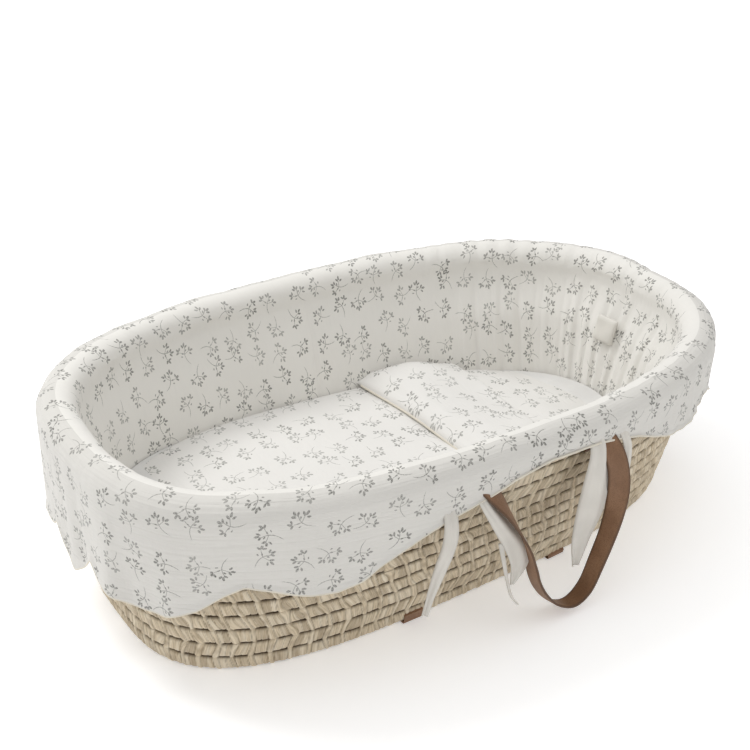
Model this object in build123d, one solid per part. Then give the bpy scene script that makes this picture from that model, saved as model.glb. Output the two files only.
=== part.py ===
"""Woven baby basket (Moses basket) with padded liner, mattress, folded duvet and two leather carrying straps.

Millimetres. +X runs to the foot end, -Y is the front long side, +Z is up.
The origin is on the floor, under the middle of the basket's rim.
"""
import os
from math import atan2, cos, degrees, pi, sin

from build123d import *

os.makedirs("parts", exist_ok=True)

# ---------------------------------------------------------------- driving dimensions
# the wall's middle line, at the floor and at the rim
BASE_A, BASE_B, BASE_N = 363.0, 171.0, 3.2
RIM_A, RIM_B = 400.0, 234.0
RIM_N_HEAD, RIM_N_FOOT = 2.84, 2.48
RIM_Z = 210.0
# the base sits a little towards the head end, where it is also wider
BASE_SHIFT = -8.0
BASE_TAPER = -0.066
WALL_T = 12.0

# plaited rows
ROWS = 10
WALL_TOP = 207.8
ROW_GAP = 0.25

# rim
COIL_R = 8.0
COIL_Z = 216.0
ROLL_R = 22.0
ROLL_Z = 222.0
ROLL_CUT_Z = 208.1
ROLL_SLOT = 9.0
ROLL_SLOT_TOP = 225.5

# woven base
MAT_T = 12.0

# padded lining
BUMPER_OUT = 12.2
BUMPER_IN = 26.0
FOOT_PADDING = 8.0
BUMPER_Z = 14.0
CLOTH_T = 1.5
LEG_GAP = 0.4

# skirt
SKIRT_T = 2.5
SKIRT_TOP_OFFSET = 19.5
SKIRT_LOW_OFFSET = 10.5
SKIRT_LOW_Z = 85.0

# leather
BELT_W, BELT_T = 25.0, 2.8
BELT_X = (-99.0, 115.0)
ROOT_X = (-47.0, 111.0)
BELT_SLOT_Z = 16.2
ROOT_Z = 184.4
STRAP_Y = 263.5
STRAP_T = 3.0
STRAP_GAP = 0.8
SLOT_CLEAR = 0.25
BELT_CLEAR = 0.7

# ties
TIE_T = 2.5
TIE_Y = 257.6
TIE_TOP = 200.0

# mattress
MATTRESS_IN = 29.0
MATTRESS_Z = 16.2
MATTRESS_TOP = 88.0
SLOPE = 0.05
SHEET_T = 1.5
HEM_A, HEM_B = 280.0, 92.0
ELASTIC_W = 5.0

# duvet
DUVET_IN = 33.0
DUVET_T = 12.5
FLAP_T = 11.0
FLAP_W = 122.0
FOLD_X = 67.0
PIPING_R = 2.0
LAYER_GAP = 0.4

POINTS = 16


# ---------------------------------------------------------------- outlines
def squareness(x, share):
    """Exponent of the outline on the head side or the foot side, from the base (0) to the rim (1)."""
    rim_n = RIM_N_FOOT if x > 0 else RIM_N_HEAD
    return BASE_N + (rim_n - BASE_N) * share


def ring_wire(offset, share, z, shift=0.0, longer=0.0):
    """Outline at height z, offset outwards from the wall's middle line, from the base (share 0) to the rim (1)."""
    a = BASE_A + (RIM_A - BASE_A) * share + offset + longer
    b = BASE_B + (RIM_B - BASE_B) * share + offset
    middle = shift + BASE_SHIFT * (1 - share)
    taper = BASE_TAPER * (1 - share)
    points = []
    for k in range(POINTS):
        turn = 2 * pi * k / POINTS
        way = atan2(b * sin(turn), a * cos(turn))
        n = squareness(cos(turn), share)
        reach = (abs(cos(way) / a) ** n + abs(sin(way) / b) ** n) ** (-1 / n)
        x, y = reach * cos(way), reach * sin(way)
        points.append(Vector(middle + x, y * (1 + taper * x / a), z))
    return Wire([Edge.make_spline(points, periodic=True)])


def wall_face(offset, z, shift=0.0, longer=0.0):
    """Filled outline at height z, offset outwards from the wall's middle line."""
    return Face(ring_wire(offset, z / RIM_Z, z, shift, longer))


def wall_block(offset, low, high, shift=0.0, longer=0.0):
    """Solid that fills the basket between two heights, out to an offset from the wall's middle line."""
    lower = wall_face(offset, low, shift, longer)
    upper = wall_face(offset, high, shift, longer)
    return Solid.make_loft([lower.outer_wire(), upper.outer_wire()], True)


def side_y(offset, x, z):
    """Distance of the long side from the middle, at x and z."""
    share = z / RIM_Z
    a = BASE_A + (RIM_A - BASE_A) * share + offset
    b = BASE_B + (RIM_B - BASE_B) * share + offset
    run = x - BASE_SHIFT * (1 - share)
    n = squareness(run, share)
    return b * (1 - (abs(run) / a) ** n) ** (1 / n) * (1 + BASE_TAPER * (1 - share) * run / a)


def block(x, y, z):
    """Box between three pairs of limits."""
    size = (x[1] - x[0], y[1] - y[0], z[1] - z[0])
    middle = ((x[0] + x[1]) / 2, (y[0] + y[1]) / 2, (z[0] + z[1]) / 2)
    return Pos(*middle) * Box(*size)


def save(shape, name):
    export_step(shape, f"parts/{name}.step")


# ---------------------------------------------------------------- basket: rows, base, rim, belts
def belt_slots(x):
    """Cuts that let a belt out under the base, in above the bottom edge and out again under the rim."""
    half = BELT_W / 2 + 2 * SLOT_CLEAR
    low = BELT_SLOT_Z - SLOT_CLEAR
    cuts = []
    for x_low, z_low, z_high in (
        (x[0], -1.0, BELT_T + SLOT_CLEAR),
        (x[0], low, low + BELT_T + 2 * SLOT_CLEAR),
        (x[1], ROOT_Z - BELT_T / 2 - SLOT_CLEAR, ROOT_Z + BELT_T / 2 + SLOT_CLEAR),
    ):
        cuts.append(block((x_low - half, x_low + half), (-300, 300), (z_low, z_high)))
    return cuts


slots = belt_slots((BELT_X[0], ROOT_X[0])) + belt_slots((BELT_X[1], ROOT_X[1]))

pitch = WALL_TOP / ROWS
for row in range(ROWS):
    low = row * pitch
    high = low + pitch - ROW_GAP
    ring = wall_block(WALL_T / 2, low, high) - wall_block(-WALL_T / 2, low - 1, high + 1)
    for slot in slots:
        middle = slot.bounding_box().center().Z
        if low - 2 < middle < high:
            ring = ring - slot
    save(ring, f"wall_row_{row + 1:02d}")

base_mat = extrude(wall_face(-WALL_T / 2 - 0.4, 0), MAT_T, dir=(0, 0, 1))
for slot in slots:
    if slot.bounding_box().center().Z < BELT_T:
        base_mat = base_mat - slot
save(base_mat, "base_mat")


def round_the_rim(section, z):
    """Sweeps a flat section, drawn with y up, round the rim at height z."""
    path = ring_wire(0, 1, z)
    start = Plane(origin=path @ 0, x_dir=(-1, 0, 0), z_dir=path % 0)
    return sweep(start * section, path=path)


rim_coil = round_the_rim(Circle(COIL_R), COIL_Z)
save(rim_coil, "rim_coil")


def inner_side(x, z):
    """Where a belt's outer face may run inside the wall, at its end that is nearer to the basket's corner."""
    half = BELT_W / 2
    return min(side_y(-WALL_T / 2, x - half, z), side_y(-WALL_T / 2, x + half, z)) - BELT_CLEAR


def riser(side, x_low, x_high):
    """The stretch of belt that climbs the wall's inner face."""
    lofts = []
    for x, z in ((x_low, BELT_SLOT_Z), (x_high, ROOT_Z + BELT_T / 2)):
        y = inner_side(x, z) - BELT_T / 2
        lofts.append(Plane((x, side * y, z)) * Rectangle(BELT_W, BELT_T))
    return loft(lofts)


def belt(x_low, x_high):
    """Leather belt under the base, up inside both walls and out under the rim as two short roots."""
    half = BELT_W / 2
    low_x = (x_low - half, x_low + half)
    high_x = (x_high - half, x_high + half)
    slot_top = BELT_SLOT_Z + BELT_T
    outside = max(side_y(WALL_T / 2, x_low - half, slot_top), side_y(WALL_T / 2, x_low + half, slot_top)) + 0.5
    inside = inner_side(x_low, BELT_SLOT_Z) - BELT_T
    upper = inner_side(x_high, ROOT_Z) - BELT_T
    end = STRAP_Y - STRAP_T / 2 - STRAP_GAP
    shape = block(low_x, (-outside - BELT_T, outside + BELT_T), (0, BELT_T))
    for side in (-1, 1):
        shape = shape + block(low_x, sorted((side * outside, side * (outside + BELT_T))), (0, slot_top))
        shape = shape + block(low_x, sorted((side * inside, side * (outside + BELT_T))), (BELT_SLOT_Z, slot_top))
        shape = shape + riser(side, x_low, x_high)
        root_z = (ROOT_Z - BELT_T / 2, ROOT_Z + BELT_T / 2)
        shape = shape + block(high_x, sorted((side * upper, side * end)), root_z)
    return shape


for name, index in (("belt_left", 0), ("belt_right", 1)):
    save(belt(BELT_X[index], ROOT_X[index]), name)


# ---------------------------------------------------------------- liner
def ring_between(outer, inner, low, high, shift=0.0, longer=0.0):
    return wall_block(outer, low, high) - wall_block(inner, low - 1, high + 1, shift, longer)


bumper_top = ROLL_CUT_Z - LEG_GAP
foot_shift = -FOOT_PADDING / 2
bumper = ring_between(-BUMPER_OUT, -BUMPER_IN, BUMPER_Z, bumper_top, foot_shift, foot_shift)
save(bumper, "bumper")

floor_cloth = wall_block(-BUMPER_OUT - 1, MAT_T + 0.3, MAT_T + 0.3 + CLOTH_T)
save(floor_cloth, "floor_cloth")

section = Circle(ROLL_R)
section = section - Pos(0, ROLL_CUT_Z - ROLL_Z - 50) * Rectangle(200, 100)
slot_middle = (ROLL_SLOT_TOP - ROLL_Z - 40) / 2
section = section - Pos(0, slot_middle) * Rectangle(2 * ROLL_SLOT, ROLL_SLOT_TOP - ROLL_Z + 40)
roll = round_the_rim(section, ROLL_Z)
save(roll, "rim_roll")


def skirt_block(extra, low, high):
    """Filled cone out to the skirt's inner face plus extra, between two heights."""
    top_z = ROLL_CUT_Z - LEG_GAP
    lean = (SKIRT_TOP_OFFSET - SKIRT_LOW_OFFSET) / (top_z - SKIRT_LOW_Z)
    wires = []
    for z in (low, high):
        offset = SKIRT_TOP_OFFSET - lean * (top_z - z) + extra
        wires.append(ring_wire(offset, 1, z))
    return Solid.make_loft(wires, True)


skirt_shell = skirt_block(SKIRT_T, SKIRT_LOW_Z, bumper_top) - skirt_block(0, SKIRT_LOW_Z - 1, bumper_top + 1)

# the skirt's lower edge seen from the front, and seen from an end
SIDE_EDGE = (
    (-460, 88), (-412, 92), (-376, 114), (-331, 148), (-313, 152), (-288, 146), (-240, 133), (-194, 144),
    (-147, 173), (-71, 192), (0, 199), (60, 201), (124, 198), (202, 178), (240, 168), (285, 178), (331, 150),
    (376, 114), (412, 92), (460, 88),
)
END_EDGE = ((-260, 86), (-205, 92), (-165, 112), (-120, 114), (-73, 124), (0, 92))


def under_edge(points, plane, depth):
    """Solid below a wavy edge, drawn on a plane and pushed both ways."""
    curve = Spline(*points)
    low = Polyline(points[-1], (points[-1][0], -50), (points[0][0], -50), points[0])
    return extrude(plane * make_face([curve, low]), depth, both=True)


skirt = skirt_shell - under_edge(SIDE_EDGE, Plane.XZ, 300)
end_points = END_EDGE + tuple((-y, z) for y, z in reversed(END_EDGE[:-1]))
for side in (-1, 1):
    skirt = skirt - under_edge(end_points, Plane.YZ.offset(side * 400), 80)
save(skirt, "skirt")


def tie(side, x, width, drop, lean, tip):
    """Cloth tie that hangs from under the skirt and narrows to its end."""
    outline = [(x - width / 2, TIE_TOP), (x + width / 2, TIE_TOP)]
    outline.append((x + width / 2 + lean, TIE_TOP - drop * 0.55))
    outline.append((x + lean + tip / 2, TIE_TOP - drop))
    outline.append((x + lean - tip / 2, TIE_TOP - drop))
    outline.append((x - width / 2 + lean * 0.6, TIE_TOP - drop * 0.55))
    face = make_face(Polyline(*outline, close=True))
    middle = side * (TIE_Y + TIE_T / 2)
    return extrude(Plane.XZ.offset(-middle) * face, TIE_T / 2, both=True)


TIES = ((-112, 24, 128, -3, 6), (-16, 24, 152, 8, 5), (82, 22, 140, -5, 14), (136, 18, 110, 2, 8))
for number, (x, width, drop, lean, tip) in enumerate(TIES, 1):
    save(tie(-1, x, width, drop, lean, tip), f"tie_front_{number}")
    save(tie(1, x, width, drop, lean, tip), f"tie_back_{number}")

# blank cloth label sewn on the lining near the foot end
LABEL_W, LABEL_H, LABEL_T = 38.0, 40.0, 1.5
LABEL_TURN, LABEL_LEAN = 10.0, 10.0
LABEL_POS = (343.9, 42.0, 140.0)
label = Pos(*LABEL_POS) * Rot(0, LABEL_LEAN, LABEL_TURN) * Box(LABEL_T, LABEL_W, LABEL_H)
save(label, "label_tab")


# ---------------------------------------------------------------- leather handles
def strap_outline(points, width):
    """Flat strap of constant width round a hanging loop."""
    path = Spline(*points)
    count = 24
    left, right = [], []
    for k in range(count + 1):
        spot = path @ (k / count)
        way = path % (k / count)
        left.append((spot.X - way.Y * width / 2, spot.Y + way.X * width / 2))
        right.append((spot.X + way.Y * width / 2, spot.Y - way.X * width / 2))
    sides = [Spline(*left), Spline(*right)]
    ends = [Line(left[0], right[0]), Line(left[-1], right[-1])]
    return make_face(sides + ends)


STRAP_LOOP = ((ROOT_X[0], ROOT_Z), (-24, 138), (4, 78), (30, 30), (66, 15), (99, 46), (119, 110), (ROOT_X[1], ROOT_Z))
strap_face = strap_outline(STRAP_LOOP, BELT_W)
keep_low = block((-300, 300), (-400, 400), (-100, ROOT_Z + STRAP_T / 2))
for name, side in (("strap_front", -1), ("strap_back", 1)):
    strap = extrude(Plane.XZ.offset(-side * STRAP_Y) * strap_face, STRAP_T / 2, both=True)
    save(strap & keep_low, name)


# ---------------------------------------------------------------- mattress
tilt = Rot(0, degrees(atan2(SLOPE, 1)), 0)


def layer(bottom, top):
    """Slab between two heights above the mattress's sloping top."""
    return Pos(0, 0, MATTRESS_TOP) * tilt * block((-600, 600), (-400, 400), (bottom, top))


def inner_block(offset, low, high):
    return wall_block(-offset, low, high, foot_shift, foot_shift)


mattress = inner_block(MATTRESS_IN, MATTRESS_Z, 140) & layer(-200, 0)
core_space = inner_block(MATTRESS_IN + SHEET_T, MATTRESS_Z + SHEET_T, 150) & layer(-200, -SHEET_T)
core = inner_block(MATTRESS_IN + SHEET_T + 0.2, MATTRESS_Z + SHEET_T + 0.2, 150) & layer(-200, -SHEET_T - 0.2)
save(core, "mattress_core")


def hem_opening(smaller, low, high):
    """Oval opening in the underside of the fitted sheet."""
    return Pos(BASE_SHIFT, 0, low) * extrude(Ellipse(HEM_A - smaller, HEM_B - smaller), high - low)


under = hem_opening(0, MATTRESS_Z - 1, MATTRESS_Z + SHEET_T + 1)
save(mattress - core_space - under, "fitted_sheet")
band = hem_opening(0.3, MATTRESS_Z, MATTRESS_Z + SHEET_T)
band = band - hem_opening(0.3 + ELASTIC_W, MATTRESS_Z - 1, MATTRESS_Z + SHEET_T + 1)
save(band, "sheet_elastic")


# ---------------------------------------------------------------- duvet
def quilted(x, bottom, top, shrink):
    """Quilted layer that lies between two heights over the mattress."""
    space = inner_block(DUVET_IN + shrink, 40, 160)
    return space & block(x, (-300, 300), (0, 250)) & layer(bottom, top)


duvet_high = LAYER_GAP + DUVET_T
save(quilted((FOLD_X, 400.0), LAYER_GAP, duvet_high, 0), "duvet_quilt")
flap_low = duvet_high + LAYER_GAP
save(quilted((FOLD_X, FOLD_X + FLAP_W), flap_low, flap_low + FLAP_T, 2), "flap_quilt")

piping_x = FOLD_X - PIPING_R - 0.3
piping_z = MATTRESS_TOP - SLOPE * piping_x + LAYER_GAP + DUVET_T / 2
piping_half = side_y(-DUVET_IN, FOLD_X, piping_z) - 6
piping = Pos(piping_x, 0, piping_z) * Rot(90, 0, 0) * Cylinder(PIPING_R, 2 * piping_half)
save(piping, "duvet_piping")
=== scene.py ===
import math
import random

import bpy
import numpy as np
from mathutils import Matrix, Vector


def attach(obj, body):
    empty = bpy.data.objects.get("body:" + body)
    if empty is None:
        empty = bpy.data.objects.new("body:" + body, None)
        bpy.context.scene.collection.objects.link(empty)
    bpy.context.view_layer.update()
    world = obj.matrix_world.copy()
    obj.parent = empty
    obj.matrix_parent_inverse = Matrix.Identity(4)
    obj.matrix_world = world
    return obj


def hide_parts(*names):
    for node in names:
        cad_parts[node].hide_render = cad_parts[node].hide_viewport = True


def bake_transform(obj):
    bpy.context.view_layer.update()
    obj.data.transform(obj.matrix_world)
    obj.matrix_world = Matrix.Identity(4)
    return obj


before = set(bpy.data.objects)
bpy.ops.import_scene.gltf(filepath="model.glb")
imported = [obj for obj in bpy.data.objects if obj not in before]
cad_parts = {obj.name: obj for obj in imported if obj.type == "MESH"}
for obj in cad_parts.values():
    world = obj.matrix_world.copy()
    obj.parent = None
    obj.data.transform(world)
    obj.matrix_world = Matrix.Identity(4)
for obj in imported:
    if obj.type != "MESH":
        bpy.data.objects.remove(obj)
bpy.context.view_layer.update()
rng = np.random.default_rng(7)

# ---------------------------------------------------------------- shape of the basket
BASE_A, BASE_B, BASE_N = 0.363, 0.171, 3.2
RIM_A, RIM_B, RIM_Z = 0.400, 0.234, 0.210
RIM_N_HEAD, RIM_N_FOOT = 2.84, 2.48
BASE_SHIFT, BASE_TAPER = -0.008, -0.066
TILT = -0.0068
WALL_T = 0.012
WALL_TOP = 0.2078
ROWS = 10
ROLL_Z, ROLL_R = 0.222, 0.022


def oval(turn, offset, z):
    """Points on the basket's outline: offset is outwards from the wall's middle line, at height z."""
    turn, offset, z = np.broadcast_arrays(turn, offset, z)
    share = np.clip(z / RIM_Z, 0, 1)
    a = BASE_A + (RIM_A - BASE_A) * share + offset
    b = BASE_B + (RIM_B - BASE_B) * share + offset
    rim_n = RIM_N_HEAD + (RIM_N_FOOT - RIM_N_HEAD) * smooth(np.cos(turn), -0.15, 0.15)
    n = BASE_N + (rim_n - BASE_N) * share
    way = np.arctan2(b * np.sin(turn), a * np.cos(turn))
    reach = (np.abs(np.cos(way) / a) ** n + np.abs(np.sin(way) / b) ** n) ** (-1 / n)
    x = reach * np.cos(way)
    y = reach * np.sin(way) * (1 + BASE_TAPER * (1 - share) * x / a)
    return np.stack([x + BASE_SHIFT * (1 - share), y, z + TILT * share * x / RIM_A], -1)


def half_wall(x, offset, z):
    """Half width of the basket at x and z, out to an offset from the wall's middle line."""
    share = min(max(z / RIM_Z, 0), 1)
    a = BASE_A + (RIM_A - BASE_A) * share + offset
    b = BASE_B + (RIM_B - BASE_B) * share + offset
    run = min(abs(x - BASE_SHIFT * (1 - share)) / a, 1)
    n = BASE_N + ((RIM_N_FOOT if x > 0 else RIM_N_HEAD) - BASE_N) * share
    return b * (1 - run ** n) ** (1 / n) * (1 + BASE_TAPER * (1 - share) * x / a)


def hang(turn, offset, z):
    """Points that hang straight below the rim's outline."""
    p = oval(turn, offset, RIM_Z)
    p[..., 2] = z + TILT * p[..., 0] / RIM_A
    return p


def smooth(x, low, high):
    t = np.clip((x - low) / (high - low), 0, 1)
    return t * t * (3 - 2 * t)


def even_turns(count, offset=0.022):
    """Turns that step evenly round the rim, and the rim's length.

    They start at the middle of the front side and go towards +X.
    """
    fine = np.linspace(-math.pi / 2, 1.5 * math.pi, 14401)
    p = oval(fine, offset, RIM_Z)
    run = np.concatenate([[0], np.cumsum(np.linalg.norm(np.diff(p, axis=0), axis=1))])
    return np.interp(np.arange(count) / count * run[-1], run, fine), run[-1], fine, run


# ---------------------------------------------------------------- meshes
def make_mesh(name, points, faces, uv=None, shade_smooth=True):
    mesh = bpy.data.meshes.new(name)
    mesh.from_pydata([tuple(p) for p in points], [], faces)
    if uv is not None:
        layer = mesh.uv_layers.new(name="cloth")
        layer.data.foreach_set("uv", np.asarray(uv, np.float32).ravel())
    if shade_smooth:
        mesh.polygons.foreach_set("use_smooth", [True] * len(mesh.polygons))
    obj = bpy.data.objects.new(name, mesh)
    bpy.context.scene.collection.objects.link(obj)
    return obj


def grid(name, p, uv=None, round_u=False, round_v=False, flip=False, u_span=None):
    """Quad mesh from points p[i, j]; uv[i, j] in metres. round_u joins the last i to the first."""
    nu, nv = p.shape[:2]
    iu = np.arange(nu if round_u else nu - 1)
    jv = np.arange(nv if round_v else nv - 1)
    i, j = np.meshgrid(iu, jv, indexing="ij")
    i, j = i.ravel(), j.ravel()
    i2, j2 = (i + 1) % nu, (j + 1) % nv
    faces = np.stack([i * nv + j, i2 * nv + j, i2 * nv + j2, i * nv + j2], 1)
    loops = None
    if uv is not None:
        corners = []
        for ci, cj, wrapped in ((i, j, False), (i2, j, True), (i2, j2, True), (i, j2, False)):
            c = uv[ci, cj].copy()
            if round_u and wrapped:
                c[:, 0] += np.where(ci < i, u_span, 0)
            corners.append(c)
        loops = np.stack(corners, 1)
    if flip:
        faces = faces[:, ::-1]
        loops = None if loops is None else loops[:, ::-1]
    return make_mesh(name, p.reshape(-1, 3), faces.tolist(), loops)


def paint(obj, name, values):
    layer = obj.data.attributes.new(name, "FLOAT", "POINT")
    layer.data.foreach_set("value", np.asarray(values, np.float32).ravel())


def thicken(obj, thickness, offset=-1.0, rim=True):
    mod = obj.modifiers.new("thickness", "SOLIDIFY")
    mod.use_rim = rim
    mod.thickness = thickness
    mod.offset = offset
    return obj


# ---------------------------------------------------------------- materials
class Nodes:
    """Short way to build a shader tree."""

    def __init__(self, name, rough=0.9, sheen=0.0):
        self.mat = bpy.data.materials.new(name)
        self.mat.use_nodes = True
        self.tree = self.mat.node_tree
        self.shader = self.tree.nodes["Principled BSDF"]
        self.shader.inputs["Roughness"].default_value = rough
        if sheen:
            self.shader.inputs["Sheen Weight"].default_value = sheen
            self.shader.inputs["Sheen Roughness"].default_value = 0.5

    def add(self, kind, **settings):
        node = self.tree.nodes.new(kind)
        for key, value in settings.items():
            setattr(node, key, value)
        return node

    def link(self, out, into):
        self.tree.links.new(out, into)

    def math(self, operation, a, b=None, c=None):
        node = self.add("ShaderNodeMath", operation=operation)
        for k, value in enumerate((a, b, c)):
            if value is None:
                continue
            if isinstance(value, (int, float)):
                node.inputs[k].default_value = value
            else:
                self.link(value, node.inputs[k])
        return node.outputs[0]

    def uv(self):
        return self.add("ShaderNodeUVMap", uv_map="cloth").outputs[0]

    def scaled(self, vector, x, y, z=1.0):
        node = self.add("ShaderNodeMapping")
        node.inputs["Scale"].default_value = (x, y, z)
        self.link(vector, node.inputs["Vector"])
        return node.outputs[0]

    def noise(self, vector, scale, detail=2.0, rough=0.5):
        node = self.add("ShaderNodeTexNoise")
        node.inputs["Scale"].default_value = scale
        node.inputs["Detail"].default_value = detail
        node.inputs["Roughness"].default_value = rough
        if vector is not None:
            self.link(vector, node.inputs["Vector"])
        return node.outputs["Fac"]

    def ramp(self, value, low, high):
        node = self.add("ShaderNodeMapRange", interpolation_type="SMOOTHSTEP")
        node.inputs["From Min"].default_value = low
        node.inputs["From Max"].default_value = high
        self.link(value, node.inputs["Value"])
        return node.outputs["Result"]

    def mix(self, factor, a, b):
        node = self.add("ShaderNodeMix", data_type="RGBA")
        for socket, value in ((node.inputs[0], factor), (node.inputs[6], a), (node.inputs[7], b)):
            if isinstance(value, (int, float)):
                socket.default_value = value
            elif isinstance(value, tuple):
                socket.default_value = (*value, 1)
            else:
                self.link(value, socket)
        return node.outputs[2]

    def attribute(self, name):
        return self.add("ShaderNodeAttribute", attribute_name=name).outputs["Fac"]

    def bump(self, height, strength, distance):
        node = self.add("ShaderNodeBump")
        node.inputs["Strength"].default_value = strength
        node.inputs["Distance"].default_value = distance
        self.link(height, node.inputs["Height"])
        self.link(node.outputs[0], self.shader.inputs["Normal"])

    def colour(self, value):
        if isinstance(value, tuple):
            self.shader.inputs["Base Color"].default_value = (*value, 1)
        else:
            self.link(value, self.shader.inputs["Base Color"])


def petal_group():
    """One small leaf: 1 inside an ellipse of half length and half width, centred and turned."""
    g = bpy.data.node_groups.new("leaf", "ShaderNodeTree")
    for name in ("X", "Y", "CX", "CY", "Turn", "Long", "Wide"):
        g.interface.new_socket(name, in_out="INPUT", socket_type="NodeSocketFloat")
    g.interface.new_socket("Mask", in_out="OUTPUT", socket_type="NodeSocketFloat")
    gin, gout = g.nodes.new("NodeGroupInput"), g.nodes.new("NodeGroupOutput")

    def m(op, a, b=None):
        node = g.nodes.new("ShaderNodeMath")
        node.operation = op
        for k, v in enumerate((a, b)):
            if v is None:
                continue
            if isinstance(v, (int, float)):
                node.inputs[k].default_value = v
            else:
                g.links.new(v, node.inputs[k])
        return node.outputs[0]

    x = m("SUBTRACT", gin.outputs["X"], gin.outputs["CX"])
    y = m("SUBTRACT", gin.outputs["Y"], gin.outputs["CY"])
    c, s = m("COSINE", gin.outputs["Turn"]), m("SINE", gin.outputs["Turn"])
    along = m("DIVIDE", m("ADD", m("MULTIPLY", x, c), m("MULTIPLY", y, s)), gin.outputs["Long"])
    across = m("DIVIDE", m("SUBTRACT", m("MULTIPLY", y, c), m("MULTIPLY", x, s)), gin.outputs["Wide"])
    dist = m("ADD", m("MULTIPLY", along, along), m("MULTIPLY", across, across))
    edge = g.nodes.new("ShaderNodeMapRange")
    edge.interpolation_type = "SMOOTHSTEP"
    edge.inputs["From Min"].default_value = 1.35
    edge.inputs["From Max"].default_value = 0.75
    g.links.new(dist, edge.inputs["Value"])
    g.links.new(edge.outputs[0], gout.inputs[0])
    return g


LEAF = petal_group()
SPACING = 0.0355
# leaves of the sprig: place, turn, half length, half width, all in millimetres and degrees
LEAVES = (
    (-1.9, 9.6, 125, 2.3, 1.15), (0.9, 11.4, 80, 2.5, 1.25), (3.3, 9.0, 30, 2.2, 1.1),
    (-10.2, 2.9, 195, 2.2, 1.1), (-9.8, 6.2, 130, 2.5, 1.3), (-6.8, 7.2, 70, 2.1, 1.05),
    (7.6, 5.4, 65, 2.3, 1.15), (10.6, 3.4, 10, 2.5, 1.25), (8.8, -0.4, -40, 2.1, 1.05),
    (-2.9, 1.4, 155, 1.6, 0.8), (2.6, 4.6, 40, 1.6, 0.8), (-4.6, -2.2, 170, 1.4, 0.7),
)


def print_cloth(name, base, ink, light_ink, rib=0.0, crease=0.35):
    n = Nodes(name, rough=0.95, sheen=0.15)
    uv = n.uv()
    cells = n.scaled(uv, 1 / SPACING, 1 / SPACING)
    vor = n.add("ShaderNodeTexVoronoi", voronoi_dimensions="2D", feature="F1")
    vor.inputs["Scale"].default_value = 1.0
    vor.inputs["Randomness"].default_value = 0.5
    n.link(cells, vor.inputs["Vector"])
    local = n.add("ShaderNodeVectorMath", operation="SUBTRACT")
    n.link(cells, local.inputs[0])
    n.link(vor.outputs["Position"], local.inputs[1])
    chance = n.add("ShaderNodeSeparateColor")
    n.link(vor.outputs["Color"], chance.inputs[0])
    turn = n.math("MULTIPLY", chance.outputs[0], 2 * math.pi)
    spin = n.add("ShaderNodeVectorRotate", rotation_type="Z_AXIS")
    n.link(local.outputs[0], spin.inputs["Vector"])
    n.link(turn, spin.inputs["Angle"])
    xyz = n.add("ShaderNodeSeparateXYZ")
    n.link(spin.outputs[0], xyz.inputs[0])
    side = n.math("SUBTRACT", n.math("MULTIPLY", n.math("GREATER_THAN", chance.outputs[1], 0.5), 2.0), 1.0)
    wobble = n.add("ShaderNodeTexNoise")
    wobble.inputs["Scale"].default_value = 620
    wobble.inputs["Detail"].default_value = 1.0
    n.link(uv, wobble.inputs["Vector"])
    shake = n.math("MULTIPLY", n.math("SUBTRACT", wobble.outputs["Fac"], 0.5), 0.9)
    mm = SPACING * 1000 * 0.93
    x = n.math("ADD", n.math("MULTIPLY", n.math("MULTIPLY", xyz.outputs[0], mm), side), shake)
    y = n.math("ADD", n.math("MULTIPLY", xyz.outputs[1], mm), shake)
    mask = None
    for cx, cy, turned, long, wide in LEAVES:
        leaf = n.add("ShaderNodeGroup", node_tree=LEAF)
        n.link(x, leaf.inputs["X"])
        n.link(y, leaf.inputs["Y"])
        sizes = (("CX", cx), ("CY", cy), ("Turn", math.radians(turned)), ("Long", long), ("Wide", wide))
        for key, value in sizes:
            leaf.inputs[key].default_value = value
        mask = leaf.outputs[0] if mask is None else n.math("MAXIMUM", mask, leaf.outputs[0])
    # the stem bends down to a thin tail, with two short side twigs
    bend = n.math("SUBTRACT", x, n.math("MULTIPLY", n.math("MULTIPLY", y, y), 0.038))
    thin = n.ramp(n.math("ABSOLUTE", bend), 0.55, 0.15)
    reach = n.math("MULTIPLY", n.ramp(y, -14.0, -10.5), n.ramp(y, 10.0, 8.0))
    stem = n.math("MULTIPLY", n.math("MULTIPLY", thin, reach), 0.85)
    twig_y = n.math("SUBTRACT", y, n.math("ADD", n.math("MULTIPLY", n.math("ABSOLUTE", x), 0.42), 0.3))
    twig_line = n.ramp(n.math("ABSOLUTE", twig_y), 0.5, 0.15)
    twig = n.math("MULTIPLY", twig_line, n.ramp(n.math("ABSOLUTE", x), 8.5, 6.5))
    stem = n.math("MAXIMUM", stem, n.math("MULTIPLY", twig, 0.75))
    speck = n.noise(uv, 900, 2.0)
    strength = n.math("MULTIPLY", mask, n.ramp(speck, 0.28, 0.62))
    strength = n.math("MAXIMUM", n.math("MULTIPLY", mask, 0.68), strength)
    fade = n.math("ADD", n.math("MULTIPLY", chance.outputs[2], 0.3), 0.7)
    pigment = n.mix(n.ramp(speck, 0.4, 0.6), light_ink, ink)
    cover = n.math("MULTIPLY", n.math("MAXIMUM", strength, stem), fade)
    cloud = n.noise(uv, 9, 3.0)
    ground = n.mix(n.ramp(cloud, 0.3, 0.7), tuple(c * 0.975 for c in base), base)
    n.colour(n.mix(cover, ground, pigment))
    # gauze weave, soft crinkles and, on the skirt, fine ribs that follow the rim
    weave = n.noise(n.scaled(uv, 1, 1), 1500, 1.0)
    crinkle = n.noise(n.scaled(uv, 150, 42), 1.0, 3.0, 0.55)
    height = n.math("ADD", n.math("MULTIPLY", weave, 0.12), n.math("MULTIPLY", crinkle, crease))
    if rib:
        rows = n.noise(n.scaled(uv, 9, 290), 1.0, 1.5)
        height = n.math("ADD", height, n.math("MULTIPLY", rows, rib))
    n.bump(height, 0.75, 0.0030)
    return n.mat


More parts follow.
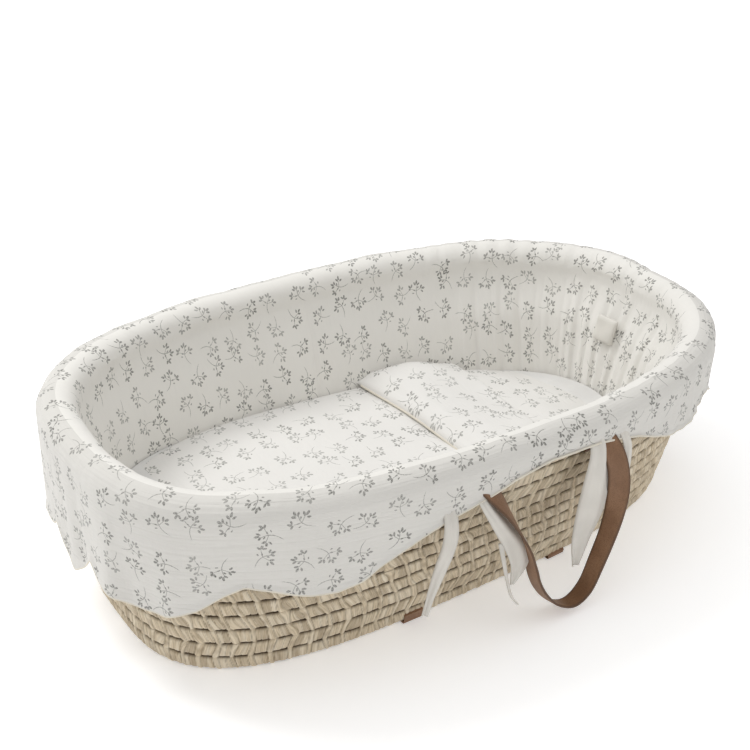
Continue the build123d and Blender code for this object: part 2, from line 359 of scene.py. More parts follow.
def straw_material(name, bright=1.0, strip_tone_and_gap_shade=True):
    n = Nodes(name, rough=0.72)
    n.shader.inputs["Specular IOR Level"].default_value = 0.25
    if strip_tone_and_gap_shade:
        uv = n.uv()
        fibre = n.noise(n.scaled(uv, 800, 38), 1.0, 4.0, 0.65)
        broad = n.noise(n.scaled(uv, 260, 25), 1.0, 2.0)
    else:
        place = n.add("ShaderNodeTexCoord").outputs["Object"]
        fibre = n.noise(n.scaled(place, 300, 300, 60), 1.0, 3.0, 0.6)
        broad = n.noise(n.scaled(place, 60, 60, 20), 1.0, 2.0)
    pale = tuple(c * bright for c in (0.73, 0.62, 0.455))
    tan = tuple(c * bright for c in (0.465, 0.37, 0.245))
    cream = tuple(c * bright for c in (0.80, 0.71, 0.56))
    brown = tuple(c * bright for c in (0.36, 0.285, 0.195))
    colour = n.mix(n.ramp(fibre, 0.30, 0.62), tan, pale)
    colour = n.mix(n.ramp(broad, 0.45, 0.75), colour, cream)
    if strip_tone_and_gap_shade:
        tone = n.attribute("tone")
        colour = n.mix(n.math("MULTIPLY", n.ramp(tone, 0.5, 0.0), 0.5), colour, brown)
        colour = n.mix(n.math("MULTIPLY", n.ramp(tone, 0.6, 1.0), 0.5), colour, cream)
        # painted shade: the straw turns near black in the gaps between strips and in the dashes at the row
        # edges
        colour = n.mix(n.attribute("painted_gap_shade"), colour, (0.055, 0.032, 0.015))
    n.colour(colour)
    n.bump(n.math("ADD", fibre, n.math("MULTIPLY", broad, 0.6)), 0.9, 0.0016)
    return n.mat


def leather_material():
    n = Nodes("leather", rough=0.55)
    n.shader.inputs["Specular IOR Level"].default_value = 0.35
    place = n.add("ShaderNodeTexCoord").outputs["Object"]
    grain = n.noise(place, 900, 3.0, 0.6)
    cloud = n.noise(place, 28, 3.0)
    colour = n.mix(n.ramp(cloud, 0.3, 0.7), (0.20, 0.105, 0.055), (0.285, 0.158, 0.088))
    colour = n.mix(n.math("MULTIPLY", n.ramp(grain, 0.55, 0.35), 0.5), colour, (0.12, 0.062, 0.032))
    edge = n.attribute("edge")
    colour = n.mix(edge, colour, (0.07, 0.037, 0.02))
    n.colour(colour)
    n.bump(grain, 0.35, 0.0006)
    return n.mat


def plain_cloth(name, colour, scale=1.0):
    n = Nodes(name, rough=0.95, sheen=0.15)
    place = n.add("ShaderNodeTexCoord").outputs["Object"]
    cloud = n.noise(place, 30, 3.0)
    n.colour(n.mix(n.ramp(cloud, 0.3, 0.7), tuple(c * 0.93 for c in colour), colour))
    weave = n.noise(place, 1300, 1.0)
    crinkle = n.noise(n.scaled(place, 90, 90, 34), scale, 3.0)
    n.bump(n.math("ADD", n.math("MULTIPLY", weave, 0.1), n.math("MULTIPLY", crinkle, 0.6)), 0.45, 0.003)
    return n.mat


INK, LIGHT_INK = (0.070, 0.070, 0.060), (0.23, 0.23, 0.205)
GROUND = (0.785, 0.766, 0.722)
PRINT = print_cloth("print", GROUND, INK, LIGHT_INK)
# painted shade: the skirt is the lining's print with a darker ground, a shaded copy of the same cloth
SKIRT_SHADED_GROUND = (0.675, 0.657, 0.618)
SHADED_SKIRT_PRINT = print_cloth("ribbed_print_shaded", SKIRT_SHADED_GROUND, INK, LIGHT_INK, rib=0.55)
BED_GROUND, BED_INK, BED_LIGHT_INK = (0.745, 0.73, 0.70), (0.14, 0.14, 0.125), (0.33, 0.33, 0.30)
PRINT_BED = print_cloth("print_bed", BED_GROUND, BED_INK, BED_LIGHT_INK, crease=0.35)
STRAW = straw_material("straw")
STRAW_PLAIN = straw_material("straw_plain", strip_tone_and_gap_shade=False)
LEATHER = leather_material()
RIBBON = plain_cloth("ribbon", (0.68, 0.65, 0.595))
CREAM = plain_cloth("cream", (0.70, 0.655, 0.56))
LABEL = plain_cloth("label", (0.73, 0.705, 0.65))
LINING = plain_cloth("lining", (0.72, 0.71, 0.69))


def dress(obj, material, slot, body, *nodes):
    obj.data.materials.clear()
    obj.data.materials.append(material)
    if body:
        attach(obj, body)
    if nodes:
        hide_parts(*nodes)
    return obj


# ---------------------------------------------------------------- plaited rows
CELLS = 97
PER_CELL = 16
ACROSS = 14
row_turns, rim_length, _, _ = even_turns(CELLS * PER_CELL, 0.0)
knots = rng.uniform(0, 1, ROWS + 1)
for k in range(1, ROWS + 1):
    knots[k] = knots[k - 1] + rng.uniform(0.08, 0.42) * rng.choice([-1, 1])
shift_at = rng.normal(0, 0.10, (ROWS + 1, CELLS * 2))
cell_of = np.arange(CELLS * PER_CELL) / PER_CELL
row_pitch = WALL_TOP / ROWS


def wander(boundary):
    """Where the stitches sit along one boundary: even, with a little disorder."""
    table = shift_at[boundary]
    at = cell_of * 2
    low = np.floor(at).astype(int) % len(table)
    part = at - np.floor(at)
    return table[low] * (1 - part) + table[(low + 1) % len(table)] * part


for row in range(ROWS):
    t = np.linspace(0, 1, ACROSS + 1)
    t = 0.5 - 0.5 * np.cos(math.pi * (0.12 + 0.76 * t)) / np.cos(math.pi * 0.12)
    t = (t - t[0]) / (t[-1] - t[0])
    low_phase = (cell_of + knots[row] + wander(row))[:, None]
    high_phase = (cell_of + knots[row + 1] + wander(row + 1))[:, None]
    phase = low_phase * (1 - t) + high_phase * t
    inside = phase - np.floor(phase)
    which = np.floor(phase).astype(int) % CELLS
    strips = rng.uniform(0, 1, (CELLS, 4))
    cut = 0.71 + 0.08 * (strips[which, 2] - 0.5)
    halfway = 0.30 + 0.12 * strips[which, 3]
    narrow = inside > cut
    second = (inside > halfway) & ~narrow
    mid = 1 - np.abs(2 * t - 1) ** 1.5
    narrow_tone = (0.60 + 0.40 * strips[which, 1]) * (1 - mid) + strips[which, 2] * mid
    tone = np.where(narrow, narrow_tone, np.where(second, strips[which, 3], strips[which, 0]))
    narrow_proud = (0.0008 + 0.0010 * strips[which, 1]) * (1 - 0.85 * mid)
    wide_proud = np.where(second, 0.0009 * strips[which, 2], 0.0008 * strips[which, 0])
    proud = np.where(narrow, narrow_proud, wide_proud)
    belly = 0.0012 * (1 - np.abs(2 * t - 1) ** 4)
    seam_low = np.exp(-((inside - 0.0) / 0.030) ** 2) + np.exp(-((inside - 1.0) / 0.030) ** 2)
    seam_mid = np.exp(-((inside - cut) / 0.030) ** 2)
    split = np.exp(-((inside - halfway) / 0.026) ** 2) * (0.35 + 0.65 * strips[which, 0])
    wide_left = np.where(second, (inside - halfway) / (cut - halfway), inside / halfway)
    left = np.where(narrow, (inside - cut) / (1 - cut), wide_left)
    crown = np.sqrt(np.clip(np.sin(np.clip(left, 0, 1) * math.pi), 0, 1))
    height = belly + proud + 0.0005 * crown - 0.0011 * (seam_low + seam_mid) - 0.0008 * split
    # painted shade mask: the seams and splits between strips are darkened in colour
    painted_gap_shade = 0.42 * (seam_low + seam_mid) + 0.34 * split
    for boundary, at in ((low_phase, 0.0), (high_phase, 1.0)):
        own = boundary - np.floor(boundary)
        dash = smooth(own, 0.01, 0.05) * (1 - smooth(own, 0.69, 0.74))
        near = np.exp(-((t - at) / 0.075) ** 2)
        height = height - 0.0042 * dash * near
        # the dashes along the row edges get strong painted shade
        painted_gap_shade = painted_gap_shade + 2.4 * dash * np.exp(-((t - at) / 0.052) ** 2)
        height = height - 0.0006 * (1 - dash) * near
    z0 = row * row_pitch
    z = z0 + t[None, :] * (row_pitch - 0.0002)
    if row == 0:
        height = height - 0.0022 * (1 - smooth(t, 0.0, 0.35))
    outer = oval(row_turns[:, None], WALL_T / 2 - 0.001 + height, z)
    inner_t = np.array([1.0, 0.5, 0.0])
    inner = oval(row_turns[:, None], -WALL_T / 2 + 0 * inner_t, z0 + inner_t * (row_pitch - 0.0002))
    p = np.concatenate([outer, inner], 1)
    width = rim_length / CELLS
    uv = np.zeros(p.shape[:2] + (2,))
    uv[:, : ACROSS + 1, 0] = phase * width + row * 3.1
    uv[:, : ACROSS + 1, 1] = z
    uv[:, ACROSS + 1:, 0] = cell_of[:, None] * width
    uv[:, ACROSS + 1:, 1] = 0.01
    rows_obj = grid(f"plait_{row + 1:02d}", p, uv, round_u=True, round_v=True, u_span=rim_length)
    zeros = np.zeros((len(row_turns), 3))
    paint(rows_obj, "tone", np.concatenate([tone, zeros + 0.5], 1))
    paint(rows_obj, "painted_gap_shade", np.concatenate([np.clip(painted_gap_shade, 0, 1), zeros], 1))
    dress(rows_obj, STRAW, "straw", "basket", f"wall_row_{row + 1:02d}")


# ---------------------------------------------------------------- liner
AROUND = 1000
turns, length, row_all, run_all = even_turns(AROUND)
along = np.arange(AROUND) / AROUND * length
signed = np.where(along > length / 2, along - length, along)
rim_xy = oval(turns, 0.022, RIM_Z)


def waves(s, seeds, amount):
    """Soft disorder round the rim: a few sines that close on themselves."""
    total = 0 * s
    for count, phase, share in seeds:
        total = total + share * np.sin(2 * math.pi * count * s / length + phase)
    return amount * total


def lump_seeds(low, high, count):
    picks = rng.integers(low, high, count)
    return [(int(c), rng.uniform(0, 6.28), rng.uniform(0.4, 1.0) / math.sqrt(count)) for c in picks]


FOOT = smooth(rim_xy[:, 0], 0.15, 0.30)
INNER_STEPS = 40
v_in = np.linspace(0, 1, INNER_STEPS)
pad = 0.026 + 0.005 * FOOT[:, None]
z_in = 0.016 + (0.206 - 0.016) * v_in[None, :] + 0 * pad
offset_in = -pad - 0.003 * np.sin(math.pi * v_in)[None, :] * (1 + 0.5 * FOOT[:, None])
blend_top = smooth(v_in, 0.70, 1.0)[None, :]
offset_in = offset_in * (1 - blend_top) - ROLL_R * blend_top
fold_seeds = lump_seeds(44, 100, 14)
fine_folds = lump_seeds(120, 190, 8)
soft_seeds = lump_seeds(7, 26, 10)
patchy = 0.35 + 0.65 * smooth(waves(signed, lump_seeds(5, 16, 6), 1.0), -0.7, 0.7)
gather = (waves(signed, fold_seeds, 0.0040) * patchy + waves(signed, fine_folds, 0.0010)) * FOOT
gather = gather[:, None] * (0.15 + 0.85 * np.sin(math.pi * np.clip(v_in, 0, 1)) ** 0.6)[None, :]
gather = np.where(gather > 0, gather * 0.55, gather)
drift = waves(signed, lump_seeds(9, 40, 8), 1.0)[:, None] * np.cos(3.1 * v_in + 0.4)[None, :]
sag = (waves(signed, soft_seeds, 0.0022)[:, None] + 0.0012 * drift) * np.sin(math.pi * v_in)[None, :] ** 0.8
seam_at = 0.0022 * np.exp(-((rim_xy[:, 0] + 0.004) / 0.004) ** 2) * (rim_xy[:, 1] > 0)
offset_in = offset_in - gather + sag + seam_at[:, None] * np.sin(math.pi * v_in)[None, :] ** 0.5
ARC_STEPS = 26
arc = np.linspace(math.pi, 0.0, ARC_STEPS + 1)[1:-1]
CROWN = ARC_STEPS // 2 - 1
broad_swell = waves(signed, lump_seeds(10, 44, 10), 0.0011)
swell = (broad_swell + waves(signed, lump_seeds(60, 120, 8), 0.0004) * (0.4 + FOOT))[:, None]
offset_arc = (ROLL_R + swell) * np.cos(arc)[None, :]
z_arc = ROLL_Z + (ROLL_R + swell) * np.sin(arc)[None, :]
neck = np.linspace(0.2095, ROLL_Z, 4)[None, :] + 0 * pad
inside_p = oval(turns[:, None], offset_in, z_in)
neck_p = oval(turns[:, None], -ROLL_R + 0 * neck, neck)
arc_p = oval(turns[:, None], offset_arc, z_arc)

# height of the scalloped lower edge by the distance along the rim from the middle of a long side
EDGE = (
    (-0.640, 0.080), (-0.606, 0.080), (-0.580, 0.074), (-0.552, 0.094), (-0.528, 0.119),
    (-0.510, 0.104), (-0.460, 0.099), (-0.412, 0.104), (-0.378, 0.116), (-0.350, 0.136),
    (-0.326, 0.149), (-0.300, 0.143), (-0.258, 0.130), (-0.230, 0.127), (-0.200, 0.134),
    (-0.165, 0.157), (-0.130, 0.173), (-0.090, 0.182), (-0.055, 0.190), (-0.020, 0.203), (0.030, 0.213),
    (0.098, 0.210), (0.132, 0.203), (0.163, 0.195), (0.203, 0.177), (0.235, 0.164), (0.262, 0.163),
    (0.300, 0.172), (0.345, 0.176), (0.400, 0.148), (0.440, 0.115), (0.475, 0.103), (0.505, 0.116),
    (0.535, 0.132), (0.570, 0.118), (0.620, 0.105), (0.700, 0.105),
)
EDGE = np.array(EDGE)
ends = [np.interp(t, row_all, run_all) for t in (0.0, math.pi)]
right_end, left_end = ends[0], ends[1] - length
back = rim_xy[:, 1] > 0
mirrored = np.where(signed > 0, 2 * right_end - signed, 2 * left_end - signed)
along_front = np.where(back, mirrored, signed)
edge = np.interp(along_front, EDGE[:, 0], EDGE[:, 1])
kernel = np.exp(-np.linspace(-2, 2, 7) ** 2)
kernel /= kernel.sum()
edge = np.convolve(np.concatenate([edge[-3:], edge, edge[:3]]), kernel, "valid")

DROP = 46
v_sk = np.linspace(0, 1, DROP + 1)[None, 1:]
z_sk = ROLL_Z - v_sk * (ROLL_Z - edge[:, None])
loose = np.clip((0.218 - z_sk) / 0.10, 0, 1)
flutter = waves(signed, lump_seeds(14, 34, 8), 0.0034)[:, None] * loose
flutter = flutter + waves(signed, lump_seeds(40, 80, 8), 0.0011)[:, None] * loose
flutter = flutter + waves(signed, lump_seeds(90, 150, 8), 0.0007)[:, None] * FOOT[:, None]
lean = 0.002 + 0.006 * smooth(rim_xy[:, 0], -0.3, 0.0)[:, None]
offset_sk = ROLL_R + swell - lean * (ROLL_Z - z_sk) / 0.12 + flutter
curl = 0.0022 * smooth(v_sk, 0.90, 1.0)
skirt_part = hang(turns[:, None], offset_sk + curl, z_sk)

section = np.concatenate([inside_p, neck_p, arc_p, skirt_part], 1)
step = np.linalg.norm(np.diff(section, axis=1), axis=2)
down = np.concatenate([0 * step[:, :1], np.cumsum(step, 1)], 1)
crown_at = INNER_STEPS + 4 + CROWN
down = down - down[:, crown_at:crown_at + 1]
uv = np.stack([np.repeat(along[:, None], section.shape[1], 1), down], -1)
lining_p = section[:, :crown_at + 1]
bumper = grid("padded_lining", lining_p, uv[:, :crown_at + 1], round_u=True, u_span=length, flip=True)
thicken(bumper, 0.003, -1.0, False)
dress(bumper, PRINT, "print", "liner", "bumper", "rim_roll")
skirt_p = section[:, crown_at:]
skirt = grid("skirt_cloth", skirt_p, uv[:, crown_at:], round_u=True, u_span=length, flip=True)
thicken(skirt, 0.0016, -1.0, False)
dress(skirt, SHADED_SKIRT_PRINT, "print", "liner", "skirt")

# thin cream edging along the scallops
hem_at = skirt_p[:, -1, :]
ring = np.linspace(0, 2 * math.pi, 9)[:-1]
out_way = oval(turns, 0.03, RIM_Z) - oval(turns, 0.02, RIM_Z)
out_way /= np.linalg.norm(out_way, axis=1)[:, None]
centre = hem_at - out_way * 0.0008
hem_p = centre[:, None, :] + 0.0011 * np.cos(ring)[None, :, None] * out_way[:, None, :]
hem_p = hem_p + 0.0013 * np.sin(ring)[None, :, None] * np.array([0, 0, 1.0])
hem = grid("skirt_edging", hem_p, None, round_u=True, round_v=True)
dress(hem, CREAM, "cream", "liner")

dress(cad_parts["floor_cloth"], LINING, "lining", None)

# ---------------------------------------------------------------- plain CAD pieces that stay
for node in ("base_mat", "rim_coil"):
    dress(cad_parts[node], STRAW_PLAIN, "straw", None)
# the belts' short visible ends are worn and pressed against the wall
for node, squash in (("belt_left", 0.70), ("belt_right", 0.25)):
    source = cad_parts[node]
    mesh = source.data.copy()
    for v in mesh.vertices:
        reach = abs(v.co.y)
        wall = half_wall(v.co.x, 0.006, v.co.z)
        if v.co.z < 0.03 and reach > wall:
            v.co.z *= squash
            lip = half_wall(v.co.x, 0.006, v.co.z) + 0.0032
            v.co.y = math.copysign(min(reach, lip), v.co.y)
        if v.co.z > 0.15 and reach > wall - 0.002:
            v.co.y = math.copysign(min(reach, wall + 0.0012), v.co.y)
    belt = bpy.data.objects.new(node + "_leather", mesh)
    bpy.context.scene.collection.objects.link(belt)
    dress(belt, LEATHER, "leather", "basket", node)
dress(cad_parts["mattress_core"], LINING, "foam", None)
dress(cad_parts["sheet_elastic"], CREAM, "cream", None)


# ---------------------------------------------------------------- smooth curves through points
def curve_points(control, count):
    """Catmull-Rom curve through control points, evenly stepped; extra columns ride along."""
    control = np.asarray(control, float)
    pad_ends = np.vstack([2 * control[0] - control[1], control, 2 * control[-1] - control[-2]])
    out = []
    for k in range(len(control) - 1):
        p0, p1, p2, p3 = pad_ends[k:k + 4]
        t = np.linspace(0, 1, 24, endpoint=False)[:, None]
        square = (2 * p0 - 5 * p1 + 4 * p2 - p3) * t ** 2
        cube = (3 * p1 - p0 - 3 * p2 + p3) * t ** 3
        out.append(0.5 * (2 * p1 + (p2 - p0) * t + square + cube))
    out = np.vstack(out + [control[-1:]])
    run = np.concatenate([[0], np.cumsum(np.linalg.norm(np.diff(out[:, :3], axis=0), axis=1))])
    even = np.linspace(0, run[-1], count)
    return np.stack([np.interp(even, run, out[:, c]) for c in range(out.shape[1])], 1), run[-1]


# ---------------------------------------------------------------- leather straps
# x, y, z of the strap's middle and the angle its width is turned out of the hanging plane
STRAP_PATH = (
    (-0.060, -0.2380, 0.218, 24), (-0.0495, -0.2465, 0.200, 34), (-0.0400, -0.2540, 0.184, 48),
    (-0.0290, -0.2600, 0.165, 62), (-0.0085, -0.2635, 0.124, 76), (0.0020, -0.2640, 0.092, 83),
    (0.0090, -0.2635, 0.066, 89), (0.0210, -0.2635, 0.042, 95), (0.0390, -0.2630, 0.0205, 99),
    (0.0640, -0.2625, 0.0090, 103), (0.0860, -0.2620, 0.0215, 96), (0.1010, -0.2620, 0.053, 90),
    (0.1140, -0.2625, 0.088, 84), (0.1215, -0.2630, 0.122, 66), (0.1240, -0.2615, 0.155, 30),
    (0.1195, -0.2560, 0.186, 12), (0.1080, -0.2420, 0.214, 0),
)
STRAP_W, STRAP_T = 0.025, 0.0028


def strap(name, side, node):
    path, _ = curve_points(STRAP_PATH, 150)
    spine = path[:, :3].copy()
    way = np.gradient(spine, axis=0)
    way /= np.linalg.norm(way, axis=1)[:, None]
    y_axis = np.array([0, 1.0, 0])
    plane = np.cross(way, y_axis)
    plane /= np.linalg.norm(plane, axis=1)[:, None]
    angle = np.radians(path[:, 3])[:, None]
    width = plane * np.cos(angle) + y_axis * np.sin(angle)
    width -= way * np.sum(width * way, 1)[:, None]
    width /= np.linalg.norm(width, axis=1)[:, None]
    normal = np.cross(way, width)
    rounded = []
    edge = []
    half_w, half_t = STRAP_W / 2, STRAP_T / 2
    across = np.concatenate([np.linspace(-1, 1, 9), np.linspace(1, -1, 9)])
    for k, a in enumerate(across):
        face = 1 if k < 9 else -1
        near_edge = abs(a) > 0.97
        rounded.append((a * half_w, face * half_t * (0.72 if near_edge else 1.0)))
        edge.append(0.75 if near_edge else 0.0)
    rounded = np.array(rounded)
    sideways = width[:, None, :] * rounded[None, :, 0, None]
    p = spine[:, None, :] + sideways + normal[:, None, :] * rounded[None, :, 1, None]
    p[:, :, 2] = np.maximum(p[:, :, 2], 0.0012)
    if side > 0:
        p[:, :, 1] *= -1
    obj = grid(name, p, None, round_v=True, flip=side > 0)
    paint(obj, "edge", np.repeat(np.array(edge)[None, :], len(path), 0))
    obj.data.materials.append(LEATHER)
    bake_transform(obj)
    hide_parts(node)
    return obj


strap("leather_strap_front", -1, "strap_front")
strap("leather_strap_back", 1, "strap_back")


# ---------------------------------------------------------------- cloth ties
def tie(name, side, control, node, fold=0.006):
    """Ribbon through control points (x, y, z, width, turn): its width is along x, turned by turn degrees."""
    path, run = curve_points(control, 60)
    spine, wide, turn = path[:, :3], path[:, 3], np.radians(path[:, 4])
    across = np.linspace(-1, 1, 15)
    way = np.stack([np.cos(turn), -np.sin(turn), 0 * turn], 1)
    out = np.stack([-np.sin(turn), -np.cos(turn), 0 * turn], 1)
    t = np.linspace(0, 1, len(path))
    bend = np.cos(across * 2.6 + 0.8)[None, :] * np.sin(3 * t + 0.6)[:, None]
    ripple = 0.5 * np.sin(across * 5.0)[None, :] * (1 - 0.6 * t)[:, None]
    crease = fold * (bend + ripple)
    crease = crease * np.minimum(1, wide / 0.02)[:, None]
    sideways = way[:, None, :] * (across[None, :, None] * wide[:, None, None] / 2)
    p = spine[:, None, :] + sideways + out[:, None, :] * crease[:, :, None]
    if side > 0:
        p[:, :, 1] *= -1
    obj = grid(name, p, None, flip=side > 0)
    thicken(obj, 0.0016, 0.0)
    dress(obj, RIBBON, "ribbon", "liner", node)
    return obj


TIE_1 = (
    (-0.098, -0.247, 0.192, 0.020, 0), (-0.100, -0.2555, 0.176, 0.021, 6), (-0.102, -0.2565, 0.150, 0.022, 14),
    (-0.113, -0.254, 0.120, 0.014, 40), (-0.121, -0.250, 0.090, 0.009, 50), (-0.127, -0.247, 0.062, 0.007, 30),
)
TIE_2 = (
    (-0.060, -0.247, 0.196, 0.014, 0), (-0.054, -0.256, 0.180, 0.016, 0), (-0.035, -0.259, 0.150, 0.024, 8),
    (-0.016, -0.259, 0.118, 0.029, 12), (-0.010, -0.259, 0.092, 0.022, 16), (-0.018, -0.258, 0.066, 0.004, 20),
)
TIE_2_TAIL = (
    (-0.036, -0.2565, 0.128, 0.006, 0), (-0.031, -0.258, 0.100, 0.005, 0), (-0.026, -0.259, 0.074, 0.0038, 0),
    (-0.020, -0.260, 0.052, 0.0032, 0), (-0.010, -0.260, 0.036, 0.0025, 0),
)
TIE_3 = (
    (0.100, -0.246, 0.214, 0.026, 0), (0.098, -0.255, 0.198, 0.032, 0), (0.095, -0.258, 0.160, 0.042, 5),
    (0.089, -0.258, 0.120, 0.042, 8), (0.080, -0.256, 0.085, 0.027, 6), (0.076, -0.254, 0.052, 0.009, 0),
)
TIE_4 = (
    (0.137, -0.247, 0.208, 0.012, 0), (0.140, -0.2535, 0.190, 0.011, 12), (0.140, -0.254, 0.160, 0.010, 16),
    (0.137, -0.252, 0.125, 0.008, 10), (0.134, -0.249, 0.100, 0.005, 0),
)
for side, word in ((-1, "front"), (1, "back")):
    tie(f"ribbon_{word}_1", side, TIE_1, f"tie_{word}_1")
    tip = tie(f"ribbon_{word}_2_tail", side, TIE_2_TAIL, f"tie_{word}_2", fold=0.0008)
    tie(f"ribbon_{word}_2", side, TIE_2, f"tie_{word}_2", fold=0.0045)
    tie(f"ribbon_{word}_3", side, TIE_3, f"tie_{word}_3", fold=0.006)
    tie(f"ribbon_{word}_4", side, TIE_4, f"tie_{word}_4", fold=0.002)


# ---------------------------------------------------------------- mattress and duvet


def bed_height(x):
    """The mattress's top: raised at the head end, sinking towards the foot end."""
    at = (-0.38, -0.33, -0.28, -0.22, -0.164, -0.088, -0.012, 0.05, 0.11, 0.18, 0.255, 0.36)
    up = (0.090, 0.096, 0.100, 0.1025, 0.1025, 0.0995, 0.0955, 0.092, 0.086, 0.077, 0.0680, 0.060)
    return np.interp(x, at, up)


def inner_outline(turn, offset, z):
    """Outline of the space inside the lining."""
    p = oval(turn, -offset - 0.004 * smooth(np.cos(turn), 0.2, 0.9), z)
    p[..., 2] = z
    return p


def bm_close(obj, middle=False):
    """Closes the open ends; middle makes the cap at the top a fan round one point."""
    import bmesh

    bm = bmesh.new()
    bm.from_mesh(obj.data)
    layer = bm.loops.layers.uv.active
    rims = [e for e in bm.edges if len(e.link_faces) == 1]
    made = bmesh.ops.holes_fill(bm, edges=rims, sides=0)["faces"]
    for face in made:
        for corner in face.loops:
            corner[layer].uv = (corner.vert.co.x, corner.vert.co.y)
    if middle:
        bmesh.ops.poke(bm, faces=made)
    bmesh.ops.recalc_face_normals(bm, faces=bm.faces)
    bm.to_mesh(obj.data)
    bm.free()
    obj.data.polygons.foreach_set("use_smooth", [True] * len(obj.data.polygons))


def mattress_mesh():
    turn = np.arange(480) / 480 * 2 * math.pi
    rings = np.concatenate([np.linspace(0.0, 0.90, 46)[1:], np.linspace(0.905, 1.0, 16)])
    rim = inner_outline(turn, 0.0275, 0.092)
    cx = -0.010
    x = cx + rings[None, :] * (rim[:, :1] - cx)
    y = rings[None, :] * rim[:, 1:2]
    edge_drop = 0.015 * (1 - np.sqrt(np.clip(1 - ((rings - 0.950) / 0.0501) ** 2, 0, 1))) * (rings > 0.950)
    crown = 0.004 * (1 - rings ** 2)
    dents = 0.0014 * np.sin(x * 23 + 1.3 * np.sin(y * 17)) * np.cos(y * 19 + 2)
    dents = dents + 0.0007 * np.sin(x * 61 + y * 47)
    z = bed_height(x) + crown[None, :] - edge_drop[None, :] + dents * (1 - rings[None, :] ** 6)
    top = np.stack([x, y, z], -1)
    sides = []
    for v in np.linspace(0.0, 1.0, 10)[1:]:
        zz = top[:, -1, 2] * (1 - v) + 0.0165 * v
        wall = inner_outline(turn, 0.0285, zz)
        sides.append(np.stack([wall[:, 0], wall[:, 1], zz], -1))
    p = np.concatenate([top, np.stack(sides, 1)], 1)
    uv = np.stack([p[..., 0], p[..., 1]], -1)
    uv[:, len(rings):, 1] += 0.01 * np.arange(1, 10)[None, :]
    obj = grid("mattress_sheet", p, uv, round_u=True, u_span=0.0)
    bm_close(obj, True)
    return obj


mattress = mattress_mesh()
dress(mattress, PRINT_BED, "print", "mattress", "fitted_sheet")


def fold_x(y):
    """The fold is turned a little: its far end lies nearer to the head."""
    return 0.067 - 0.085 * y + 0.002 * np.sin(y * 25)


def quilt(name, low_at, high_at, base, thick, offset, nose, puff, seed):
    """Soft layer over the mattress: a closed pillow between two edges, following the lining's shape."""
    nx, ny = 110, 120
    tx = np.linspace(0, 1, nx)
    tx = np.where(tx < 0.25, tx * 0.5, 0.125 + (tx - 0.25) * 0.875 / 0.75)
    ty = np.sin(np.linspace(-1, 1, ny) * math.pi / 2)
    turn = np.linspace(-math.pi / 2, math.pi / 2, 2001)
    wall = inner_outline(turn, offset, 0.095)
    rough_y = ty[None, :] * 0.17 + 0 * tx[:, None]
    gx = low_at(rough_y) * (1 - tx[:, None]) + high_at(rough_y) * tx[:, None]
    half = np.interp(gx, wall[:1001, 0], -wall[:1001, 1])
    reach_x = wall[1000, 0]
    half = np.where(gx < reach_x, half, 0.001)
    gy = half * ty[None, :]
    span = (high_at(gy) - low_at(gy)) * np.ones_like(gx)
    edge_y = np.sqrt(np.clip(1 - np.abs(ty) ** 8, 0, 1))[None, :]
    to_low = tx[:, None] * span / nose
    to_high = (1 - tx[:, None]) * span / 0.010
    low_rise = np.sqrt(np.clip(1 - (1 - np.clip(to_low, 0, 1)) ** 2, 0, 1))
    high_rise = np.sqrt(np.clip(1 - (1 - np.clip(to_high, 0, 1)) ** 2, 0, 1))
    rise = low_rise * high_rise
    lumps = 0.0016 * np.sin(gx * 41 + 1.7 * np.sin(gy * 13 + seed)) * np.cos(gy * 23 + seed)
    lumps = lumps + 0.0008 * np.sin(gx * 90 + gy * 60)
    upper = bed_height(gx) + base(gx, gy) + (thick + lumps + puff(gx, gy)) * rise * edge_y
    lower = bed_height(gx) + base(gx, gy) + 0 * rise
    top = np.stack([gx, gy, upper], -1)
    bottom = np.stack([gx, gy, lower], -1)[:, ::-1]
    p = np.concatenate([top, bottom], 1)
    uv = np.stack([p[..., 0] + 0.13 * seed, p[..., 1] + 0.07 * seed], -1)
    obj = grid(name, p, uv, round_v=True, flip=True)
    bm_close(obj)
    return obj


def duvet_puff(x, y):
    return 0.003 * np.exp(-((x - 0.22) / 0.06) ** 2) * np.cos(y * 9) - 0.0075 * smooth(x, 0.20, 0.32)


def flap_base(x, y):
    return 0.0125 - 0.008 * smooth(0.020 - (x - fold_x(y)), 0.0, 0.020)


def flap_puff(x, y):
    far = smooth(y, 0.03, 0.15)
    return 0.010 * far * np.exp(-((x - 0.125) / 0.045) ** 2) + 0.004 * np.exp(-((x - 0.11) / 0.05) ** 2)


duvet = quilt("duvet_layer", lambda y: fold_x(y) + 0.004, lambda y: 0.346 + 0 * y,
              lambda x, y: 0.0008 + 0 * x, 0.0115, 0.0330, 0.008, duvet_puff, 3)
dress(duvet, PRINT_BED, "print", "duvet", "duvet_quilt")
flap = quilt("turned_back_edge", lambda y: fold_x(y) - 0.004, lambda y: 0.188 + 0.03 * y, flap_base, 0.0100,
             0.0280, 0.009, flap_puff, 5)
dress(flap, PRINT_BED, "print", None, "flap_quilt")
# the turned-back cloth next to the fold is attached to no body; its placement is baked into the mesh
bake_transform(flap)

pipe_y = np.linspace(-0.160, 0.160, 80)
pipe_ring = np.linspace(0, 2 * math.pi, 9)[:-1]
pipe_x = fold_x(pipe_y) - 0.0035
pipe_c = np.stack([pipe_x, pipe_y, bed_height(pipe_x) + 0.0052 + 0.0008 * np.sin(pipe_y * 30)], -1)
pipe_out = np.stack([np.cos(pipe_ring), 0 * pipe_ring, np.sin(pipe_ring)], -1)
pipe = pipe_c[:, None, :] + 0.0018 * pipe_out[None, :, :]
piping = grid("duvet_edge_piping", pipe, None, round_v=True)
dress(piping, CREAM, "cream", "duvet", "duvet_piping")

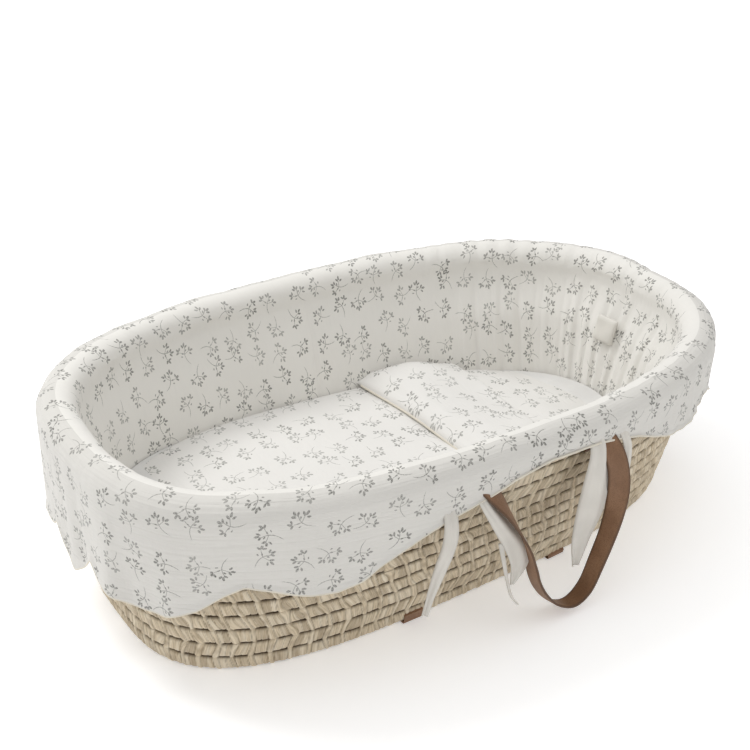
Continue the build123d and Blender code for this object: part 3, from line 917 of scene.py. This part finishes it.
# ---------------------------------------------------------------- blank label
gy, gz = np.linspace(-1, 1, 22), np.linspace(-1, 1, 22)
yy, zz = np.meshgrid(gy, gz, indexing="ij")
puff = 0.0045 * np.sqrt(np.clip((1 - yy ** 6) * (1 - zz ** 6), 0, 1)) - 0.0006 * np.sin(zz * 3 + yy)
yy, zz = yy * 0.0150 - 0.001 * zz, zz * 0.0170 + 0.001 * yy
xx = 0.3475 - puff - 0.22 * yy + 0.176 * zz
label_c = Vector((0, 0.022, 0.157))
label = grid("label_cloth", np.stack([xx, label_c.y + yy, label_c.z + zz], -1), None, flip=True)
thicken(label, 0.0014, 0.0)
dress(label, LABEL, "cream", "liner", "label_tab")

# ---------------------------------------------------------------- camera, floor and light
camera = bpy.data.objects.new("camera", bpy.data.cameras.new("camera"))
bpy.context.scene.collection.objects.link(camera)
camera.location = (-0.8206, -1.2318, 1.0363)
aim = Vector((0.0238, 0.0880, 0.1542)) - camera.location
camera.rotation_euler = aim.to_track_quat("-Z", "Y").to_euler()
camera.data.lens = 68.24
camera.data.sensor_width = 36.0
bpy.context.scene.camera = camera

bpy.ops.mesh.primitive_plane_add(size=14, location=(0, 0, -0.0005))
floor = bpy.context.object
floor.name = "floor"
floor_mat = Nodes("floor", rough=0.9)
floor_mat.colour((0.93, 0.93, 0.935))
floor_mat.shader.inputs["Specular IOR Level"].default_value = 0.1
floor_mat.shader.inputs["Emission Color"].default_value = (1, 1, 1, 1)
floor_mat.shader.inputs["Emission Strength"].default_value = 0.29
floor.data.materials.append(floor_mat.mat)

world = bpy.data.worlds.new("world")
bpy.context.scene.world = world
world.use_nodes = True
sky = world.node_tree
place = sky.nodes.new("ShaderNodeTexCoord")
split = sky.nodes.new("ShaderNodeSeparateXYZ")
rise = sky.nodes.new("ShaderNodeMapRange")
rise.inputs["From Min"].default_value = 0.0
rise.inputs["From Max"].default_value = 1.0
rise.inputs["To Min"].default_value = 0.50
rise.inputs["To Max"].default_value = 1.35
sky.links.new(place.outputs["Generated"], split.inputs[0])
sky.links.new(split.outputs["Z"], rise.inputs["Value"])
sky.links.new(rise.outputs["Result"], sky.nodes["Background"].inputs[0])
sky.nodes["Background"].inputs[1].default_value = 0.76


def area(name, place, target, size, power, colour=(1, 1, 1)):
    light = bpy.data.lights.new(name, "AREA")
    light.shape = "DISK"
    light.size = size
    light.energy = power
    light.color = colour
    obj = bpy.data.objects.new(name, light)
    bpy.context.scene.collection.objects.link(obj)
    obj.location = place
    obj.rotation_euler = (Vector(target) - Vector(place)).to_track_quat("-Z", "Y").to_euler()
    return obj


area("key", (-1.1, 1.4, 2.5), (0.05, 0, 0.1), 1.2, 37)
area("fill", (1.2, -2.0, 2.6), (0, 0, 0.1), 2.2, 4)
bpy.context.scene.view_settings.view_transform = "Standard"
